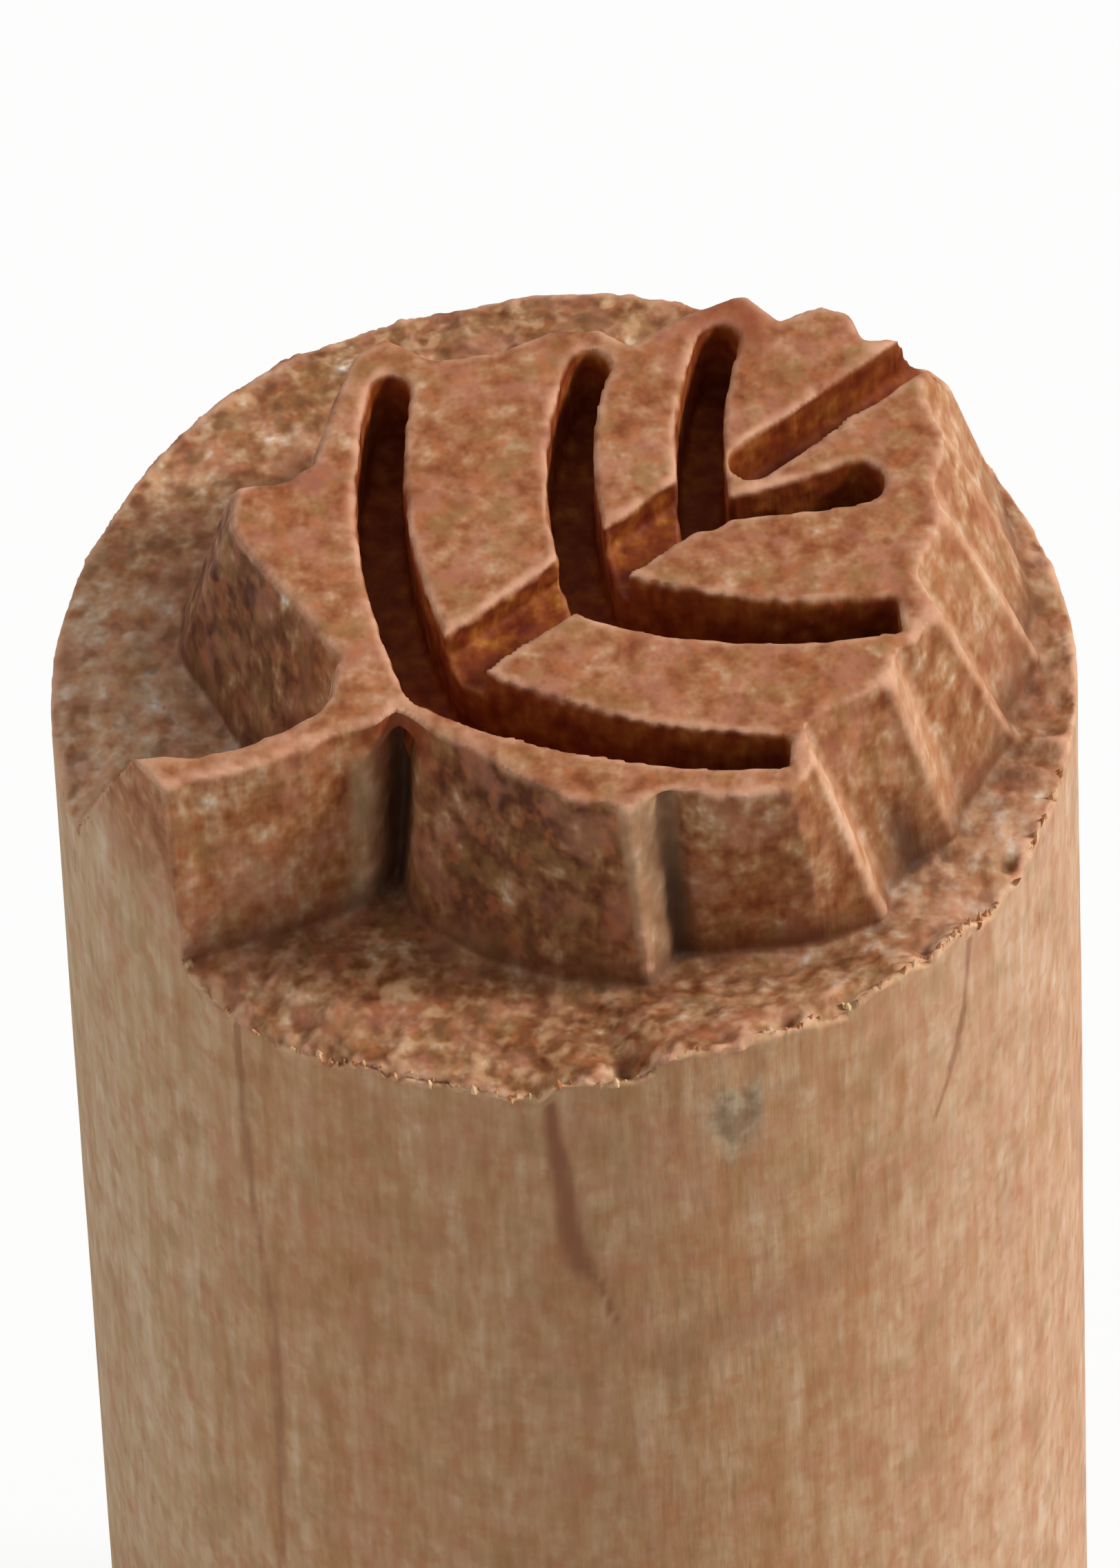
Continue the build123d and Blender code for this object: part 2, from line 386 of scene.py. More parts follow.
def near_vein(points, vein):
    """How far each point is outside a vein's side and how far along the vein, in mm, and its direction from
    the vein's middle."""
    end, middle, vertex, end_width, vertex_width = vein
    t = np.linspace(0, 1, VEIN_STEPS)[:, None]
    line = (np.array(end) * (1 - t) * (1 - 2 * t) + np.array(middle) * 4 * t * (1 - t)
            + np.array(vertex) * t * (2 * t - 1))
    half = (end_width + (vertex_width - end_width) * t[:, 0]) / 2
    length = np.concatenate([[0], np.cumsum(np.linalg.norm(np.diff(line, axis=0), axis=1))])
    outside, reach, away = nothing_near(len(points))
    for i in range(VEIN_STEPS - 1):
        step = line[i + 1] - line[i]
        share = np.clip((points - line[i]) @ step / (step @ step), 0, 1)
        offset = points - line[i] - share[:, None] * step
        from_middle = np.linalg.norm(offset, axis=1)
        gap = from_middle - half[i] - (half[i + 1] - half[i]) * share
        nearer = gap < outside
        outside[nearer] = gap[nearer]
        reach[nearer] = (length[i] + share * (length[i + 1] - length[i]))[nearer]
        away[nearer] = (offset / from_middle[:, None].clip(0.01))[nearer]
    return outside, reach, away


def leaf_frame(points):
    """The points seen from above in the leaf's own frame: along the leaf, and across it to its left."""
    return np.stack([points @ along, points @ across], axis=1)


on_leaf = leaf_frame(plain)
below_face = FACE_HEIGHT - plain[:, 2]
radius = np.hypot(plain[:, 0], plain[:, 1])
upright = normals[:, 2]
vein_gap, vein_reach, vein_away = nothing_near(len(plain))
for vein in VEINS.values():
    gap, reach, away = near_vein(on_leaf, vein)
    nearer = gap < vein_gap
    vein_gap[nearer], vein_reach[nearer], vein_away[nearer] = gap[nearer], reach[nearer], away[nearer]
midrib_gap = np.min([near_vein(on_leaf, rib)[0] for rib in MIDRIBS.values()], axis=0)

deep = ease(below_face, 0.03, 0.25)
high = ease(below_face, VEIN_DEPTH + 0.5, VEIN_DEPTH + 0.2)
before_tip = ease(on_leaf[:, 0] - TIP_WALL - TIP_DRAFT * below_face, -0.05, -0.3)
in_vein = ease(vein_gap, 0.14, 0.02) * deep * high * before_tip
in_midrib = ease(midrib_gap, 0.14, 0.02) * deep * ease(below_face, 1.4, 1.2) * (1 - in_vein)
grooves = np.maximum(in_vein, in_midrib)
radial = np.einsum("ij,ij->i", normals[:, :2], plain[:, :2] / radius[:, None].clip(1))
side = ease(radius, RADIUS - 0.16, RADIUS - 0.04) * ease(radial, 0.6, 0.85)
face = ease(below_face, 0.25, 0.05) * ease(upright, 0.5, 0.8)
ground = ease(upright, 0.35, 0.75) * ease(below_face, 4.5, 5.0) * (1 - side)
wall = np.clip(1 - face - ground - side - grooves, 0, 1)

flat = (below_face < 0.03) & (upright > 0.9)
rims = edges[flat[edges[:, 0]] != flat[edges[:, 1]]].ravel()
near_arris = distances(plain, plain[np.unique(rims)])
foot_points = plain[(wall > 0.5) & (np.abs(below_face - 6.1) < 0.12) & (radius < RADIUS - 0.4)]
near_foot = distances(plain, foot_points)
print("share of points on face, walls, floor, side, grooves:",
      [round(float(s.mean()), 3) for s in (face, wall, ground, side, grooves)])

# %% [markdown]
# ## Corners of the blade's wall
# The teeth on the leaf's right were cut with a straight knife, which left sharp corners from the face down to
# the floor. Between some pairs of corners a narrow facet faces the lamp and catches the light, and that highlight
# is painted paler into its colour. Behind two of them the knife dug in and left a hollow, whose shade is painted
# dark. Each corner is a line between a place at the face and a place at the floor, so a point's distance is
# taken from where that line is at the point's own height.

# %% Corners and facets
CORNERS = {
    "neck ridge": ((-4.50, -7.90), (-4.35, -8.50)),
    "neck recess": ((-3.45, -8.20), (-3.20, -8.35)),
    "first tooth": ((-0.15, -9.70), (1.25, -10.65)),
    "behind first tooth": ((0.30, -8.80), (1.90, -10.10)),
    "first hollow": ((1.50, -8.80), (2.85, -9.90)),
    "second tooth": ((2.75, -9.10), (4.10, -9.85)),
    "behind second tooth": ((3.50, -8.50), (4.90, -9.40)),
    "third tooth": ((4.95, -8.30), (7.20, -8.50)),
    "behind third tooth": ((5.40, -7.00), (7.60, -7.90)),
    "fourth tooth": ((7.05, -6.15), (9.20, -7.10)),
    "behind fourth tooth": ((7.45, -5.25), (9.60, -6.30)),
    "fifth tooth": ((8.75, -4.15), (10.60, -5.30)),
    "behind fifth tooth": ((9.05, -3.00), (11.00, -4.20)),
    "tip": ((10.25, -2.05), (11.85, -2.70)),
    "behind tip": ((10.10, -1.35), (11.90, -1.50)),
}
LIT_FACETS = [("neck ridge", "neck recess", 0.5), ("first tooth", "behind first tooth", 1.0),
               ("second tooth", "behind second tooth", 0.75), ("third tooth", "behind third tooth", 0.8),
               ("fourth tooth", "behind fourth tooth", 0.8), ("fifth tooth", "behind fifth tooth", 0.6),
               ("tip", "behind tip", 1.0)]
CORNER_CUTS = {"neck ridge": 0.07, "neck recess": -0.20, "first tooth": 0.07, "behind first tooth": -0.06,
               "second tooth": 0.09, "behind second tooth": -0.08, "third tooth": 0.06,
               "behind third tooth": -0.07, "fourth tooth": 0.06, "behind fourth tooth": -0.07}
CUT_WIDTH = 0.30
PIT_WIDTH, PIT_DEPTH = 0.55, 0.30
RECESS_WIDTH = 0.32

drop = (below_face / RELIEF).clip(0, 1)


def corner_at_height(name):
    """Where a corner's line is at each point's own height, seen from above."""
    at_face, at_floor = (np.array(end) for end in CORNERS[name])
    return at_face + drop[:, None] * (at_floor - at_face)


def near_corner(name):
    """How far each point is from a corner's line, seen from above."""
    return np.linalg.norm(on_leaf - corner_at_height(name), axis=1)


def near_facet(first, second):
    """How far each point is from the facet between two corners."""
    start = corner_at_height(first)
    step = corner_at_height(second) - start
    share = np.clip(np.sum((on_leaf - start) * step, axis=1) / np.sum(step * step, axis=1), 0, 1)
    return np.linalg.norm(on_leaf - start - share[:, None] * step, axis=1)


on_wall = wall * ease(below_face, 0.0, 0.3)
# Painted highlight: the narrow facets that face the lamp are marked here, to be coloured paler
painted_facet_light = np.zeros(len(plain))
for first, second, strength in LIT_FACETS:
    width = 0.26 - 0.10 * drop + 0.10 * noise(plain, (0.6, 0.6, 0.9), 29)
    strip = ease(near_facet(first, second), width.clip(0.1), 0.04) * (1 - 0.45 * ease(drop, 0.3, 1.0))
    painted_facet_light = np.maximum(painted_facet_light, strength * strip * (wall > 0.3))
corner_push = np.zeros(len(plain))
for name, cut in CORNER_CUTS.items():
    corner_push += cut * bell(near_corner(name), CUT_WIDTH) * on_wall
pit = bell(near_corner("first hollow"), PIT_WIDTH) * ease(drop, 0.45, 0.85) * on_wall
# Painted shade in the neck recess
neck_recess_shade = bell(near_corner("neck recess"), RECESS_WIDTH)
neck_recess_shade *= ease(drop, 0.1, 0.6) * on_wall
corner_push -= PIT_DEPTH * pit
print("points on pale facets:", int((painted_facet_light > 0.5).sum()))

# %% [markdown]
# ## The veins' edges
# A voxel skin is too clean, so in the next cells it gets what the tools left. The veins were stabbed with a
# narrow chisel, so their far edges are scalloped about every 0.5 mm, and two of them end square, as wide as
# the chisel. The points are shifted sideways, because the scallops go all the way through the edge.

# %% Square vein ends and scalloped edges
SQUARE_ENDS = ("first right", "second right")
SCALLOP_PITCH, SCALLOP_DEPTH = 0.50, 0.09
MOST_STRETCH = 1.32


def square_end(vein, points):
    """Stretch a vein's round end to a square one, seen from above."""
    end, middle = np.array(vein[0]), np.array(vein[1])
    outwards = (end - middle) + 0.25 * (np.array(vein[2]) - middle)
    outwards /= np.linalg.norm(outwards)
    sideways = np.array([-outwards[1], outwards[0]])
    half = vein[3] / 2
    u, v = (points - end) @ outwards, (points - end) @ sideways
    reach = np.hypot(u, v).clip(0.001)
    stretch = (reach / np.maximum(np.abs(u), np.abs(v)).clip(0.001)).clip(1, MOST_STRETCH) - 1
    stretch *= ease(reach, half * 2.4, half) * ease(u, -0.15, 0.1)
    return points + stretch[:, None] * (points - end)


flat_places = on_leaf.copy()
near_face_or_vein = ease(below_face, VEIN_DEPTH + 0.6, VEIN_DEPTH + 0.3)
for name in SQUARE_ENDS:
    flat_places += near_face_or_vein[:, None] * (square_end(VEINS[name], flat_places) - flat_places)
beat = vein_reach / SCALLOP_PITCH + 0.8 * noise(np.pad(on_leaf, ((0, 0), (0, 1))), 1.1, 26)
tooth = 1 - np.abs(2 * (beat - np.floor(beat)) - 1)
far_side = ease(vein_away @ np.array([along[1], across[1]]), 0.3, 0.8)
scallop = SCALLOP_DEPTH * tooth * far_side * ease(np.abs(vein_gap), 0.35, 0.1) * ease(below_face, 1.1, 0.1)
scallop *= ease(vein_reach, 0.1, 0.5) * ease(on_leaf[:, 0] + 0.5 * on_leaf[:, 1], 2.4, 1.4)
scallop *= ease(on_leaf[:, 1], -1.2, -2.2)
flat_places += scallop[:, None] * vein_away
shift = flat_places - on_leaf
print("furthest shift at a vein in mm:", round(float(np.linalg.norm(shift, axis=1).max()), 2))

# %% [markdown]
# ## Worn arrises
# The arrises are worn round, more in some places than in others, and most on the bevel in front of the neck.
# Moving each point towards the middle of its neighbours does that, where a bevel would round all of them alike.
# The leaf's tip is a thin wedge at each side of its vein, where the skin's squares left steps, so it gets more
# rounds. The lowest ring and the side well below the floor are held still, because the handle must meet them.

# %% Wear
WORN_BEVEL = ((-6.4, -2.2), (-5.6, -5.3), (-4.5, -8.0), 0.3, 0.5)
HELD_BELOW = 7.8
WEAR_ROUNDS, TIP_ROUNDS = 6, 14
VEIN_LINE = -1.8

wear = ease(near_arris, 0.30, 0.05) * (0.25 + 0.35 * noise(plain, 1.1, 11)).clip(0.03, 0.6)
worn_bevel = near_vein(on_leaf, WORN_BEVEL)[0]
wear = np.maximum(wear, 0.7 * ease(worn_bevel, 0.3, 0.0) * ease(below_face, 0.7, 0.2))
held = on_shank | (radius > RADIUS - 0.02) & (below_face > HELD_BELOW)
moving = np.where(held, 0, 1.0)
places += shift[:, :1] * along + shift[:, 1:] * across
places = smooth(places, edges, 0.40 * moving, 1)
places = smooth(places, edges, wear * moving, WEAR_ROUNDS)
beside_tip_vein = ease(np.abs(on_leaf[:, 1] - VEIN_LINE), 1.4, 0.8)
steps = ease(on_leaf[:, 0], 9.3, 9.9) * beside_tip_vein * ease(below_face, 4.2, 3.2)
places = smooth(places, edges, 0.5 * steps * moving, TIP_ROUNDS)
out = np.hypot(places[:, 0], places[:, 1])
places[:, :2] += (side * (RADIUS - out))[:, None] * places[:, :2] / out[:, None].clip(1)
print("points worn:", int((wear > 0.1).sum()), "and smoothed at the tip:", int((steps > 0.1).sum()))

# %% [markdown]
# ## The slit at the stalk
# Where the stalk meets the blade there is a deep slit, cut in from the front, below a small nick in the arris.
# Both are dents in the skin, deepest in the middle. Beside the slit and on the facet by the neck, faces that
# catch the light are painted greyer as a painted highlight, and the wall below the end of the third left vein is
# redder, so those are marked for the colours.

# %% Slit, nick and patches
SLIT_AT_FACE, SLIT_AT_FLOOR = np.array([-6.92, -2.28]), np.array([-7.38, -2.42])
SLIT_INWARDS = np.array([0.22, 0.97, 0.0])
SLIT_WIDTH, SLIT_DEPTH = 0.40, 1.25
NICK_WIDTH, NICK_DEPTH = 0.80, 0.20
NICK_FROM_SLIT = (0.15, 0.0)
GREY_AT_FACE, GREY_DRAFT = (-7.85, -2.18), (-0.2, 0.0)
RED_WALL = (6.9, 1.9)

from_slit = np.linalg.norm(on_leaf - SLIT_AT_FACE - drop[:, None] * (SLIT_AT_FLOOR - SLIT_AT_FACE), axis=1)
in_slit = bell(from_slit, SLIT_WIDTH) * ease(below_face, 0.7, 1.6) * ease(below_face, 7.2, 6.6)
places += (SLIT_DEPTH * in_slit)[:, None] * SLIT_INWARDS
nick = bell(np.linalg.norm(on_leaf - SLIT_AT_FACE - NICK_FROM_SLIT, axis=1), NICK_WIDTH)
nick *= ease(below_face, 1.9, 1.2) * ease(below_face, 0.1, 0.3) * ease(plain[:, 1], -5.4, -5.8)
places += (NICK_DEPTH * nick)[:, None] * SLIT_INWARDS
# Painted highlight: greyer, paler colour on the faces beside the slit and on the neck facet, which catch the light
grey_lit_patch = np.linalg.norm(on_leaf - GREY_AT_FACE - drop[:, None] * GREY_DRAFT, axis=1)
grey_lit_patch = ease(grey_lit_patch, 0.50, 0.2) * on_wall * ease(plain[:, 1], -5.0, -6.0) * ease(below_face, 0.6, 1.4)
grey_lit_patch *= 1 - 0.5 * ease(noise(plain, (0.7, 0.7, 1.2), 31), -0.2, 0.5)
grey_lit_facet = ease(near_facet("neck ridge", "neck recess"), 0.28, 0.1)
grey_lit_patch = np.maximum(grey_lit_patch, 0.5 * grey_lit_facet * on_wall)
red_wall = ease(np.linalg.norm(on_leaf - RED_WALL, axis=1), 1.2, 0.7) * ease(below_face, 3.2, 2.6)
print("points in the slit, the nick and the grey patch:",
      [int((share > 0.5).sum()) for share in (in_slit, nick, grey_lit_patch)])

# %% [markdown]
# ## Knife and chisel marks
# Walls keep the flat facets of a knife drawn down the grain. The floor was cleared in short cuts from the rim
# inwards and stays torn, and the dowel's side keeps the long raised fibres that sanding leaves. Each is a sum
# of noises of its own cell sizes, gathered in one push along the surface's normal.

# %% Marks of the tools
SIDE_FIBRE, SIDE_RIDGE, SIDE_WAVE = (0.3, 0.3, 3.5), (0.9, 0.9, 10.0), (7, 7, 30)


def side_relief(points):
    """How far the dowel's sanded side stands out, in mm: long raised fibres and a slightly uneven round."""
    return (0.010 * noise(points, SIDE_FIBRE, 3) + 0.018 * noise(points, SIDE_RIDGE, 4)
            + 0.05 * noise(points, SIDE_WAVE, 5))


fibres = noise(plain, (0.34, 0.34, 2.4), 21)
facets = noise(plain, (1.2, 1.2, 5.0), 22)
crumbs = noise(plain, 0.30, 23)
lumps = noise(plain, 0.8, 24)
grit = noise(plain, 0.16, 25)
turned = np.arctan2(plain[:, 1], plain[:, 0])
CUT_LENGTH = 2.8
around_rim = turned * RADIUS + 0.4 * noise(plain, 2.0, 28)
cuts = np.stack([around_rim, radius / CUT_LENGTH, np.zeros(len(plain))], axis=1)
chisel = 1 - 2 * np.abs(noise(cuts, 1, 27))
tip_calm = ease(on_leaf[:, 0], 10.1, 9.3)
wall_calm = 1 - 0.4 * painted_facet_light

push = face * (0.008 * grit + 0.012 * crumbs + 0.02 * lumps)
push += corner_push + wall * wall_calm * (0.020 * fibres + 0.05 * facets + 0.045 * lumps + 0.02 * crumbs)
push += in_vein * tip_calm * (0.02 * fibres + 0.03 * crumbs)
push += in_midrib * (0.06 * crumbs + 0.05 * lumps)
at_foot = ease(near_foot, 0.45, 0.1)
push += ground * (0.07 * chisel + 0.05 * crumbs + 0.02 * grit + 0.06 * lumps - 0.10 * at_foot)
push += side * side_relief(plain)
print("marks before the rim, deepest and highest in mm:", round(float(push.min()), 3), round(float(push.max()), 3))

# %% [markdown]
# ## The torn rim
# The chisel ran out over the rim, mostly in front, and there the edge is ragged and chipped. The raggedness is
# one more push along the normal. A chip is a piece of the edge that broke away downwards, so the chips lower
# the edge instead, by a noise that is the same all the way down.

# %% Ragged edge and chips
FRONT_AT = math.radians(-85)
RIM_ABOVE_FLOOR = 0.3
MOST_CHIPPED = 0.55

front = ease(np.cos(turned - FRONT_AT), -0.1, 0.6)
rim_zone = ease(np.abs(plain[:, 2] - FLOOR_HEIGHT - RIM_ABOVE_FLOOR), 2.0, 0.3)
rim_zone *= ease(radius, RADIUS - 0.9, RADIUS - 0.1)
rim_edge = rim_zone * ease(np.abs(upright - 0.5), 0.5, 0.1)
push += rim_edge * (0.03 + 0.17 * front) * (crumbs + 0.9 * lumps + 0.4 * grit - 0.4)
push[on_shank] = side_relief(plain[on_shank])
places += push[:, None] * normals
from_above = plain * (1, 1, 0)
chips = (0.12 + 0.34 * noise(from_above, 1.2, 32) + 0.26 * noise(from_above, 0.5, 33)).clip(0, MOST_CHIPPED)
chips *= front * ease(radius, RADIUS - 1.1, RADIUS - 0.05) * ease(below_face, 4.5, 5.5)
places[:, 2] -= chips * ease(plain[:, 2], FLOOR_HEIGHT - 1.6, FLOOR_HEIGHT - 0.1)
head.vertices.foreach_set("co", places.astype(np.float32).ravel())
print("deepest and highest mark in mm:", round(float(push.min()), 3), round(float(push.max()), 3))

# %% [markdown]
# ## Marks for the colours
# The shader can't know that a point is an arris or the end of a vein, so these facts are written on the mesh
# as named attributes. A point attribute is blended over each face and costs one number a point.

# %% Attributes of the head
def shade_marks(mesh, **shares):
    """Write each named share on a mesh, one number a point, for the shader to read."""
    for name, values in shares.items():
        attribute = mesh.attributes.new(name, "FLOAT", "POINT")
        attribute.data.foreach_set("value", np.asarray(values, np.float32))


# Stains of the side: degrees round and height of each place, half width at the start and the end, and strength
SIDE_STREAKS = {
    "red wedge": ([(-93.4, 53.0), (-92.6, 50.5), (-91.8, 48.0), (-90.6, 46.4)], 0.20, 0.46, 0.85),
    "wedge tail": ([(-91.2, 46.8), (-88.6, 45.6), (-87.2, 44.2)], 0.34, 0.10, 0.75),
    "left thread": ([(-131.4, 53.0), (-130.8, 46.7), (-128.2, 40.4), (-129.5, 30.0), (-128.0, 18.0)],
                    0.14, 0.10, 0.55),
    "right check": ([(-40.4, 53.0), (-41.6, 50.6), (-43.1, 49.3), (-46.5, 47.4)], 0.15, 0.10, 0.65),
    "figure": ([(-55.0, 46.0), (-60.0, 44.4), (-70.0, 43.4), (-80.0, 42.4)], 0.9, 1.3, 0.24),
}
KNOT_AT, KNOT_HEIGHT = -72.6, 51.6
KNOT_HALF_WIDTH, KNOT_HALF_LENGTH = 0.95, 1.9


def side_stains(points):
    """How strongly the marks of the dowel's side show at each point."""
    around = np.degrees(np.arctan2(points[:, 1], points[:, 0]))
    flat_places = np.stack([np.radians(around) * RADIUS, points[:, 2]], axis=1)
    ragged = 0.08 * noise(points, (0.3, 0.3, 1.2), 41) + 0.05 * noise(points, (0.2, 0.2, 4), 42)
    total = np.zeros(len(points))
    for line, first_half, last_half, strength in SIDE_STREAKS.values():
        line = [np.array([math.radians(a) * RADIUS, z]) for a, z in line]
        for i in range(len(line) - 1):
            step = line[i + 1] - line[i]
            share = np.clip((flat_places - line[i]) @ step / (step @ step), 0, 1)
            gap = np.linalg.norm(flat_places - line[i] - share[:, None] * step, axis=1) + ragged
            half = first_half + (last_half - first_half) * (i + share) / (len(line) - 1)
            total = np.maximum(total, strength * ease(gap, half * 1.25, half * 0.35))
    return total


def knot_stain(points):
    """The grey-green spot on the side, just below the rim."""
    around = (np.degrees(np.arctan2(points[:, 1], points[:, 0])) - KNOT_AT) * math.radians(RADIUS)
    gap = np.hypot(around / KNOT_HALF_WIDTH, (points[:, 2] - KNOT_HEIGHT) / KNOT_HALF_LENGTH)
    return ease(gap + 0.55 * noise(points, (0.3, 0.3, 0.9), 43), 1.1, 0.2)


places, normals, edges = arrays(head)
softened = smooth(places, edges, np.where(held, 0, 0.5), 14)
bend = np.einsum("ij,ij->i", places - softened, normals)
# Concave hollows are coloured darker: painted shade in the creases
crest, hollow = ease(bend, 0.012, 0.075), ease(-bend, 0.015, 0.09)
# Convex crests are coloured paler: partly wear on the arrises and partly a painted highlight where they catch the
# light
crest *= 1 - in_vein * ease(below_face, 0.1, 0.4)
# Painted shade at the foot of the walls and on the floor beside them
shade_beside_foot = 0.5 * ease(near_foot, 2.2, 0.1) + 0.5 * ease(near_foot, 0.7, 0.1)
foot_shade = ease(below_face, 5.2, 6.7) * (wall + ground * shade_beside_foot)
# Painted shade: the pit, the neck recess and the slit are coloured almost black where their shade falls
painted_recess_shade = np.maximum(np.maximum(pit, neck_recess_shade), np.clip(in_slit * 1.3, 0, 1))
weathered = side * (1 - 0.9 * ease(plain[:, 2] + 0.7 * lumps, 54.2, 57.8))

# How pale the cut wood is coloured, from 0 to 1, at places of the walls and of the floor, seen from above in mm.
# It is partly the wood's own tone and partly painted light and shade: the walls that face the viewer and the left
# hollow are painted darker as shade, the walls that face the lamp paler, and the floor is painted paler on the
# left, where the leaf's shadow falls.
WALL_TONES_AND_SHADE = [((-8.0, -6.5), 0.45), ((-6.0, -6.0), 0.32), ((-3.0, -9.0), 0.0), ((-1.0, -10.0), 0.0),
              ((2.0, -9.5), 0.12), ((4.5, -9.0), 0.25), ((7.0, -7.5), 0.32), ((8.5, -5.0), 0.38),
              ((10.5, 0.0), 0.50), ((11.0, 4.0), 0.7), ((8.0, 8.0), 0.4), ((0.0, 9.0), 0.25),
              ((-6.0, 5.0), 0.15), ((-7.5, 1.5), 0.02), ((-8.0, -1.5), 0.04), ((-9.0, -4.0), 0.25)]
FLOOR_TONES_AND_LIGHT = [((-10.0, 0.0), 0.98), ((-8.0, 6.0), 0.44), ((-2.0, 11.5), 0.12), ((6.0, 10.5), 0.18),
               ((12.0, 1.0), 0.55), ((10.0, -7.0), 0.82), ((5.0, -11.2), 0.42), ((0.0, -11.5), 0.20),
               ((-5.0, -10.0), 0.24), ((-11.0, -3.0), 0.85)]


def tone_at(points, tones):
    """Blend the tones of the nearest places, the nearest weighing most."""
    weights = np.stack([1 / (0.3 + np.sum((points[:, :2] - place) ** 2, axis=1)) ** 2 for place, _ in tones])
    return (weights * np.array([tone for _, tone in tones])[:, None]).sum(axis=0) / weights.sum(axis=0)


shade_marks(head, wall=wall, ground=ground, side=weathered, vein=in_vein, midrib=in_midrib, crest=crest,
            hollow=hollow, depth=np.clip(below_face / RELIEF, 0, 1.2), foot=foot_shade.clip(0, 1),
            facet=painted_facet_light, dark=painted_recess_shade, nick=np.maximum(nick, 0.75 * red_wall * (1 - in_vein)),
            grey=grey_lit_patch, rim=rim_edge * (0.3 + 0.7 * front),
            wall_tone=tone_at(plain, WALL_TONES_AND_SHADE), floor_tone=tone_at(plain, FLOOR_TONES_AND_LIGHT),
            stain=side_stains(plain) * side, knot=knot_stain(plain) * side)
print("attributes:", [a.name for a in head.attributes if a.domain == "POINT"])

# %% [markdown]
# ## Taking the pieces apart
# The skin is now split along the planes that were cut into it: the leaf is what can be reached from the
# printing face without crossing the foot cut, and the rest is the ground. Each piece is then closed with flat
# caps inside the wood, and the edges of a cap are marked sharp, so that it doesn't bend the shading outside.

# %% Split and close
def split_head():
    """Return the three closed pieces of the head, in metres, by node name."""
    skin = bmesh.new()
    skin.from_mesh(head)
    skin.verts.ensure_lookup_table()
    skin.faces.ensure_lookup_table()
    cut_leaf, cut_root = skin.verts.layers.int.new("cut_leaf"), skin.verts.layers.int.new("cut_root")
    for vertex in skin.verts:
        vertex[cut_leaf], vertex[cut_root] = int(on_foot[vertex.index]), int(on_root[vertex.index])
    piece_of = {}
    plain_middle = {f: np.mean([plain[v.index] for v in f.verts], axis=0) for f in skin.faces}
    start = max(skin.faces, key=lambda f: plain_middle[f][2] - 0.01 * np.hypot(*plain_middle[f][:2]))
    waiting, leaf = [start], {start}
    while waiting:
        current = waiting.pop()
        for edge in current.edges:
            for other in edge.link_faces:
                if other not in leaf and plain_middle[other][2] > FOOT_LEVEL:
                    leaf.add(other)
                    waiting.append(other)
    for f in skin.faces:
        if f not in leaf:
            piece_of[f.index] = "carved_ground"
        elif (plain_middle[f] - root_place) @ root_normal > 0:
            piece_of[f.index] = "leaf_blade"
        else:
            piece_of[f.index] = "leaf_stalk"
    pieces = {}
    for node in ("carved_ground", "leaf_stalk", "leaf_blade"):
        part = skin.copy()
        part.faces.ensure_lookup_table()
        bmesh.ops.delete(part, geom=[f for f in part.faces if piece_of[f.index] != node], context="FACES")
        leaf_layer, root_layer = part.verts.layers.int["cut_leaf"], part.verts.layers.int["cut_root"]
        close_piece(part, leaf_layer, root_layer)
        bmesh.ops.scale(part, vec=Vector((MM, MM, MM)), verts=part.verts)
        part.verts.layers.int.remove(leaf_layer)
        part.verts.layers.int.remove(part.verts.layers.int["cut_root"])
        mesh = bpy.data.meshes.new(node + "_wood")
        part.to_mesh(mesh)
        part.free()
        pieces[node] = mesh
    skin.free()
    return pieces


def close_piece(part, leaf_layer, root_layer):
    """Fill each open loop with a cap. Where the foot and the root cut meet, an edge between their two shared
    corners makes two flat loops out of one bent one."""
    rim = [e for e in part.edges if e.is_boundary]
    corner = [v for v in {v for e in rim for v in e.verts} if v[leaf_layer] and v[root_layer]]
    caps = []
    root_rim = [e for e in rim if all(v[root_layer] for v in e.verts) and not all(v[leaf_layer] for v in e.verts)]
    if root_rim and len(corner) == 2:
        bridge = part.edges.new(corner)
        other_rim = [e for e in rim if e not in set(root_rim)]
        caps += bmesh.ops.edgeloop_fill(part, edges=root_rim + [bridge])["faces"]
        caps += bmesh.ops.edgeloop_fill(part, edges=other_rim + [bridge])["faces"]
    else:
        caps += bmesh.ops.holes_fill(part, edges=rim, sides=0)["faces"]
    for f in part.faces:
        f.smooth = True
    for e in rim:
        e.smooth = False
    bmesh.ops.triangulate(part, faces=caps, ngon_method="EAR_CLIP")
    bmesh.ops.recalc_face_normals(part, faces=part.faces)
    open_edges = sum(not e.is_manifold for e in part.edges)
    print("corners", len(corner), "root rim", len(root_rim), "caps", len(caps), "open edges", open_edges,
          "triangles", sum(len(f.verts) - 2 for f in part.faces))


wood_meshes = split_head()

# %% [markdown]
# ## The handle
# The handle is a plain dowel, sanded along the grain, with a sawn base whose edge is eased. A profile turned
# round the axis could be done with the Screw modifier, but here the rings are written straight down, because
# the top ring must move exactly as the head's lowest ring does.

# %% Turn the handle
TURNS = 480
RING_STEP = 0.36
BASE_EASE = 0.7
BASE_RINGS, EASE_STEPS = 18, 6
SAW_DEPTH, SAW_MARK = 0.03, (0.45, 9, 9)


def handle_profile():
    """Radius and height of each ring, from the base's centre out and up to the head."""
    rings = [(r, 0.0) for r in np.linspace(0.5, RADIUS - BASE_EASE, BASE_RINGS)]
    for i in range(1, EASE_STEPS + 1):
        turn = math.pi / 2 * i / EASE_STEPS
        rings.append((RADIUS - BASE_EASE + BASE_EASE * math.sin(turn), BASE_EASE * (1 - math.cos(turn))))
    count = round((SHANK_HEIGHT - BASE_EASE) / RING_STEP)
    rings += [(RADIUS, BASE_EASE + (SHANK_HEIGHT - BASE_EASE) * i / count) for i in range(1, count + 1)]
    return np.array(rings)


